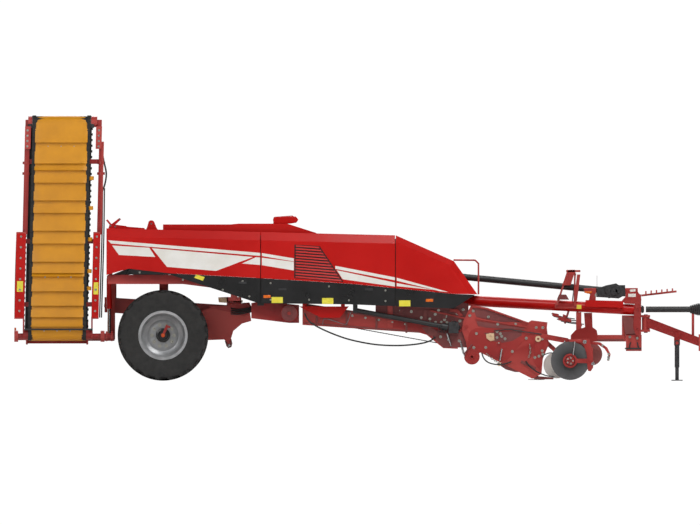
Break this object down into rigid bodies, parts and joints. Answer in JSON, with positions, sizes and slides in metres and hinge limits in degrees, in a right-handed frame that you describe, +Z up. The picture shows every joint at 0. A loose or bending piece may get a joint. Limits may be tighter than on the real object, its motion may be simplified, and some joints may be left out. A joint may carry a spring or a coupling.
{
  "type": "trailed potato harvester",
  "caption": "Towed two-row potato harvester with digging unit, sieving webs and a fold-out unloading elevator standing upright at the rear.",
  "frame": {"origin": "middle of the machine's length and width, on the ground", "axes": "+X forwards to the tractor, +Y to the machine's left, +Z up"},
  "size_m": [10.635, 2.98, 4],
  "materials": {
    "red_paint": "gloss enamel",
    "dark_red_paint": "satin enamel",
    "black_paint": "satin enamel",
    "black_plastic": "moulded",
    "grey_cast": "painted casting",
    "web_steel": "rods on rubber belts",
    "yellow_rubber": "belt rubber",
    "tyre_rubber": "matte",
    "silver_paint": "satin",
    "bright_steel": "polished",
    "disc_steel": "satin",
    "white_paint": "satin",
    "hose_rubber": "matte"
  },
  "bodies": {
    "chassis": {"arch_bracket": "dark_red_paint", "axle_arm_left": "red_paint", "axle_arm_right": "red_paint", "cleaning_rollers": "dark_red_paint", "cross_conveyor_belt": "yellow_rubber", "cross_conveyor_frame": "dark_red_paint", "drawbar_beam": "dark_red_paint", "drawbar_tube": "red_paint", "front_gearbox": "grey_cast", "front_hoop": "dark_red_paint", "front_roof": "red_paint", "hitch_head": "dark_red_paint", "hose_duct": "red_paint", "hose_holder": "dark_red_paint", "hose_loop": "hose_rubber", "lower_drive_shaft": "black_plastic", "main_frame": "dark_red_paint", "nose_band_left": "black_paint", "nose_band_right": "black_paint", "nose_cover": "red_paint", "oil_tank": "dark_red_paint", "rear_axle": "dark_red_paint", "rear_roof": "red_paint", "rear_web": "web_steel", "rear_web_frame": "dark_red_paint", "side_guard": "black_paint", "sieve_web": "web_steel", "sieve_web_frame": "dark_red_paint", "top_hood": "red_paint", "upper_driveline": "black_plastic", "web_gearbox": "grey_cast"},
    "wheel_right": {"tyre_right": "tyre_rubber", "wheel_right": "silver_paint"},
    "wheel_left": {"tyre_left": "tyre_rubber", "wheel_left": "silver_paint"},
    "rear_door_right": {"rear_door_right": "red_paint", "rear_door_band_right": "black_paint"},
    "rear_door_left": {"rear_door_left": "red_paint", "rear_door_band_left": "black_paint"},
    "middle_door_right": {"middle_door_right": "red_paint", "middle_door_band_right": "black_paint"},
    "middle_door_left": {"middle_door_left": "red_paint", "middle_door_band_left": "black_paint"},
    "elevator": {"elevator_boom": "dark_red_paint", "elevator_belt": "yellow_rubber"},
    "cylinder": {"fold_cylinder": "red_paint"},
    "cylinder_rod": {"fold_cylinder_rod": "bright_steel"},
    "digger": {"digging_frame": "dark_red_paint", "digging_web": "web_steel", "share": "bright_steel"},
    "coulter_right": {"disc_coulter_right": "disc_steel"},
    "coulter_left": {"disc_coulter_left": "disc_steel"},
    "roller_right": {"ridge_roller_right": "white_paint"},
    "roller_left": {"ridge_roller_left": "white_paint"},
    "front_drawbar": {"tow_arm": "dark_red_paint", "tow_eye": "grey_cast", "pto_shaft": "black_plastic"},
    "jack": {"parking_jack": "grey_cast"}
  },
  "joints": [
    {"name": "wheel_right_spin", "type": "hinge", "parent": "chassis", "child": "wheel_right", "pos_m": [-3.0775, -1.14, 0.683], "axis": [0, 1, 0], "continuous": true},
    {"name": "wheel_left_spin", "type": "hinge", "parent": "chassis", "child": "wheel_left", "pos_m": [-3.0775, 1.14, 0.683], "axis": [0, 1, 0], "continuous": true},
    {"name": "rear_door_right_hinge", "type": "hinge", "parent": "chassis", "child": "rear_door_right", "pos_m": [-2.7715, -1.338, 2.2171], "axis": [-0.9997, 0, 0.0241], "range_deg": [0, 80]},
    {"name": "rear_door_left_hinge", "type": "hinge", "parent": "chassis", "child": "rear_door_left", "pos_m": [-2.7715, 1.338, 2.2171], "axis": [0.9997, 0, -0.0241], "range_deg": [0, 80]},
    {"name": "middle_door_right_hinge", "type": "hinge", "parent": "chassis", "child": "middle_door_right", "pos_m": [-0.5925, -1.338, 2.1646], "axis": [-0.9997, 0, 0.0241], "range_deg": [0, 80]},
    {"name": "middle_door_left_hinge", "type": "hinge", "parent": "chassis", "child": "middle_door_left", "pos_m": [-0.5925, 1.338, 2.1646], "axis": [0.9997, 0, -0.0241], "range_deg": [0, 80]},
    {"name": "elevator_fold", "type": "hinge", "parent": "chassis", "child": "elevator", "pos_m": [-3.8875, -1.25, 0.67], "axis": [1, 0, 0], "range_deg": [0, 60]},
    {"name": "cylinder_swing", "type": "hinge", "parent": "chassis", "child": "cylinder", "pos_m": [-3.8875, -0.97, 1.54], "axis": [1, 0, 0], "range_deg": [-14, 0]},
    {"name": "cylinder_rod_slide", "type": "slide", "parent": "cylinder", "child": "cylinder_rod", "axis": [0, 0, -1], "range_m": [-0.24, 0]},
    {"name": "digger_lift", "type": "hinge", "parent": "chassis", "child": "digger", "pos_m": [1.4925, -0.5, 0.81], "axis": [0, -1, 0], "range_deg": [-8, 12]},
    {"name": "coulter_right_spin", "type": "hinge", "parent": "digger", "child": "coulter_right", "pos_m": [3.0525, -1.335, 0.3], "axis": [0, 1, 0], "continuous": true},
    {"name": "coulter_left_spin", "type": "hinge", "parent": "digger", "child": "coulter_left", "pos_m": [3.0525, 0.335, 0.3], "axis": [0, 1, 0], "continuous": true},
    {"name": "roller_right_spin", "type": "hinge", "parent": "digger", "child": "roller_right", "pos_m": [2.8525, -0.85, 0.235], "axis": [0, 1, 0], "continuous": true},
    {"name": "roller_left_spin", "type": "hinge", "parent": "digger", "child": "roller_left", "pos_m": [2.8525, -0.15, 0.235], "axis": [0, 1, 0], "continuous": true},
    {"name": "drawbar_steer", "type": "hinge", "parent": "chassis", "child": "front_drawbar", "pos_m": [4.1925, 0.42, 0.85], "axis": [0, 0, 1], "range_deg": [-20, 20]},
    {"name": "jack_fold", "type": "hinge", "parent": "front_drawbar", "child": "jack", "pos_m": [4.6625, 0.17, 0.568], "axis": [0, 1, 0], "range_deg": [0, 90]}
  ],
  "couplings": [
    {"joint": "cylinder_swing", "follows": "elevator_fold", "ratio": -0.2096},
    {"joint": "cylinder_rod_slide", "follows": "elevator_fold", "m_per_rad": -0.2168}
  ]
}
